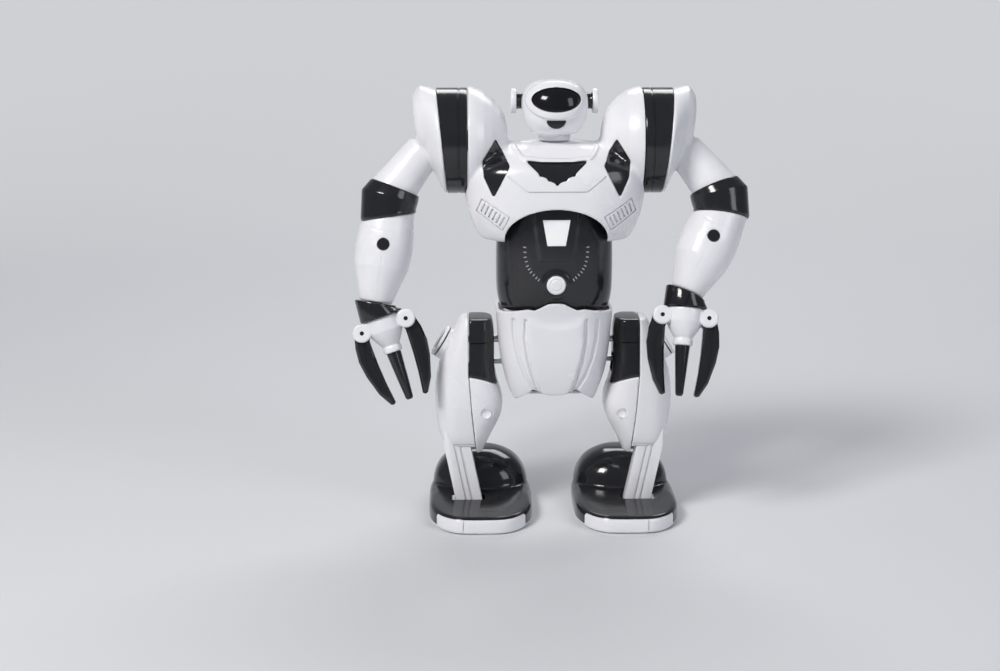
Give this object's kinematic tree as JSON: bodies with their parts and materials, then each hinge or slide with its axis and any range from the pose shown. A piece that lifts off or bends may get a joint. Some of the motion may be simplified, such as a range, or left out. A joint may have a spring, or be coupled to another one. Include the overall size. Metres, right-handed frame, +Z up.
{
  "type": "toy robot",
  "caption": "White and black toy walking robot with a round visored head, broad shoulders, jointed arms with gripping hands, and big flat feet.",
  "frame": {"origin": "on the floor at the bottom centre of the standing robot, midway between the feet", "axes": "+Z up, the face looks along -Y, +X to the robot's own left"},
  "size_m": [0.2228, 0.1, 0.25],
  "materials": {
    "white_plastic": "glossy moulded",
    "black_plastic": "glossy moulded",
    "smoked_lens": "polished",
    "milky_lens": "satin",
    "grey_plastic": "fine texture",
    "circuit_board": "satin",
    "cell_jacket": "satin",
    "steel": "plain",
    "nylon": "satin",
    "rubber": "matte"
  },
  "bodies": {
    "torso": {"chest_front_shell": "white_plastic", "chest_back_shell": "white_plastic", "chest_black_inserts": "black_plastic", "waist_sleeve": "black_plastic", "waist_lamp_lens": "milky_lens", "pelvis_shield": "white_plastic", "pelvis_back_cover": "white_plastic", "pelvis_frame": "grey_plastic", "battery_box": "grey_plastic", "battery_cells": "cell_jacket", "speaker": "steel", "circuit_board": "circuit_board", "motor": "steel", "hip_axle": "steel", "body_screws": "steel"},
    "battery_door": {"battery_door": "white_plastic"},
    "start_button": {"start_button": "white_plastic"},
    "power_switch": {"power_switch_knob": "grey_plastic"},
    "motor_pinion": {"motor_pinion": "steel"},
    "reduction_gear": {"reduction_gear": "nylon"},
    "crankshaft": {"crankshaft": "nylon"},
    "head": {"head_front_shell": "white_plastic", "head_back_shell": "white_plastic", "face_lens": "smoked_lens", "eye_leds": "circuit_board", "ear_discs": "white_plastic"},
    "upper_arm_left": {"shoulder_rotor_left": "black_plastic", "upper_arm_shell_left": "white_plastic", "elbow_ring_left": "black_plastic"},
    "forearm_left": {"forearm_shell_left": "white_plastic"},
    "hand_left": {"wrist_cuff_left": "black_plastic", "palm_left": "white_plastic", "finger_middle_left": "black_plastic"},
    "finger_inner_left": {"finger_inner_left": "black_plastic"},
    "finger_outer_left": {"finger_outer_left": "black_plastic"},
    "upper_arm_right": {"shoulder_rotor_right": "black_plastic", "upper_arm_shell_right": "white_plastic", "elbow_ring_right": "black_plastic"},
    "forearm_right": {"forearm_shell_right": "white_plastic"},
    "hand_right": {"wrist_cuff_right": "black_plastic", "palm_right": "white_plastic", "finger_middle_right": "black_plastic"},
    "finger_inner_right": {"finger_inner_right": "black_plastic"},
    "finger_outer_right": {"finger_outer_right": "black_plastic"},
    "leg_left": {"hip_block_left": "black_plastic", "leg_outer_shell_left": "white_plastic", "leg_inner_shell_left": "white_plastic", "leg_screws_left": "steel", "ankle_bar_left": "white_plastic"},
    "foot_left": {"foot_upper_left": "black_plastic", "foot_sole_left": "white_plastic"},
    "foot_rollers_left": {"foot_rollers_left": "rubber"},
    "leg_right": {"hip_block_right": "black_plastic", "leg_outer_shell_right": "white_plastic", "leg_inner_shell_right": "white_plastic", "leg_screws_right": "steel", "ankle_bar_right": "white_plastic"},
    "foot_right": {"foot_upper_right": "black_plastic", "foot_sole_right": "white_plastic"},
    "foot_rollers_right": {"foot_rollers_right": "rubber"}
  },
  "joints": [
    {"name": "neck_turn", "type": "hinge", "parent": "torso", "child": "head", "pos_m": [0, 0, 0.216], "axis": [0, 0, 1], "range_deg": [-45, 45]},
    {"name": "battery_door_lift", "type": "slide", "parent": "torso", "child": "battery_door", "axis": [0, 1, 0], "range_m": [0, 0.025]},
    {"name": "start_button_press", "type": "slide", "parent": "torso", "child": "start_button", "axis": [0, 1, 0], "range_m": [0, 0.0015], "stiffness_N_per_m": 250, "springref_m": -0.001},
    {"name": "power_switch_slide", "type": "slide", "parent": "torso", "child": "power_switch", "axis": [1, 0, 0], "range_m": [-0.003, 0.003]},
    {"name": "crank_spin", "type": "hinge", "parent": "torso", "child": "crankshaft", "pos_m": [0, 0, 0.0894], "axis": [1, 0, 0], "continuous": true},
    {"name": "reduction_gear_spin", "type": "hinge", "parent": "torso", "child": "reduction_gear", "pos_m": [0, 0, 0.102], "axis": [1, 0, 0], "continuous": true},
    {"name": "motor_spin", "type": "hinge", "parent": "torso", "child": "motor_pinion", "pos_m": [0, 0.0063, 0.11291], "axis": [1, 0, 0], "continuous": true},
    {"name": "shoulder_swing_left", "type": "hinge", "parent": "torso", "child": "upper_arm_left", "pos_m": [0.0485, 0, 0.216], "axis": [1, 0, 0], "range_deg": [-110, 6]},
    {"name": "elbow_twist_left", "type": "hinge", "parent": "upper_arm_left", "child": "forearm_left", "pos_m": [0.0933, -0.01329, 0.17511], "axis": [0.1392, 0.306, 0.9418], "range_deg": [-30, 90]},
    {"name": "wrist_twist_left", "type": "hinge", "parent": "forearm_left", "child": "hand_left", "pos_m": [0.07301, -0.02673, 0.13373], "axis": [0.4226, 0.2801, 0.8619], "range_deg": [-60, 40]},
    {"name": "finger_inner_left_hinge", "type": "hinge", "parent": "hand_left", "child": "finger_inner_left", "pos_m": [0.05883, -0.03075, 0.12136], "axis": [0, 0.9511, -0.309], "range_deg": [-6, 20]},
    {"name": "finger_outer_left_hinge", "type": "hinge", "parent": "hand_left", "child": "finger_outer_left", "pos_m": [0.08473, -0.03145, 0.1192], "axis": [0, -0.9511, 0.309], "range_deg": [-6, 20]},
    {"name": "shoulder_swing_right", "type": "hinge", "parent": "torso", "child": "upper_arm_right", "pos_m": [-0.0485, 0, 0.216], "axis": [1, 0, 0], "range_deg": [-110, 45]},
    {"name": "elbow_twist_right", "type": "hinge", "parent": "upper_arm_right", "child": "forearm_right", "pos_m": [-0.0933, -0.00747, 0.17365], "axis": [0.1392, -0.172, -0.9752], "range_deg": [-90, 90]},
    {"name": "wrist_twist_right", "type": "hinge", "parent": "forearm_right", "child": "hand_right", "pos_m": [-0.10081, -0.0157, 0.12696], "axis": [-0.1564, -0.1715, -0.9727], "range_deg": [-60, 60]},
    {"name": "finger_inner_right_hinge", "type": "hinge", "parent": "hand_right", "child": "finger_inner_right", "pos_m": [-0.08389, -0.0173, 0.11791], "axis": [0, -0.9848, 0.1736], "range_deg": [-6, 20]},
    {"name": "finger_outer_right_hinge", "type": "hinge", "parent": "hand_right", "child": "finger_outer_right", "pos_m": [-0.10848, -0.01877, 0.10957], "axis": [0, 0.9848, -0.1736], "range_deg": [-6, 20]},
    {"name": "hip_swing_left", "type": "hinge", "parent": "torso", "child": "leg_left", "pos_m": [0.034, 0, 0.102], "axis": [1, 0, 0], "range_deg": [-10, 10]},
    {"name": "ankle_left", "type": "hinge", "parent": "leg_left", "child": "foot_left", "pos_m": [0.042, -0.011, 0.007], "axis": [1, 0, 0], "range_deg": [-10, 10]},
    {"name": "foot_roller_spin_left", "type": "hinge", "parent": "foot_left", "child": "foot_rollers_left", "pos_m": [0.042, 0.02, 0.007], "axis": [1, 0, 0], "continuous": true},
    {"name": "hip_swing_right", "type": "hinge", "parent": "torso", "child": "leg_right", "pos_m": [-0.034, 0, 0.102], "axis": [1, 0, 0], "range_deg": [-10, 10]},
    {"name": "ankle_right", "type": "hinge", "parent": "leg_right", "child": "foot_right", "pos_m": [-0.042, -0.011, 0.007], "axis": [1, 0, 0], "range_deg": [-10, 10]},
    {"name": "foot_roller_spin_right", "type": "hinge", "parent": "foot_right", "child": "foot_rollers_right", "pos_m": [-0.042, 0.02, 0.007], "axis": [1, 0, 0], "continuous": true}
  ],
  "couplings": [
    {"joint": "reduction_gear_spin", "follows": "motor_spin", "ratio": -0.3125},
    {"joint": "crank_spin", "follows": "motor_spin", "ratio": 0.15625},
    {"joint": "hip_swing_right", "follows": "hip_swing_left", "ratio": -1},
    {"joint": "ankle_left", "follows": "hip_swing_left", "ratio": -1},
    {"joint": "ankle_right", "follows": "hip_swing_left", "ratio": 1}
  ]
}
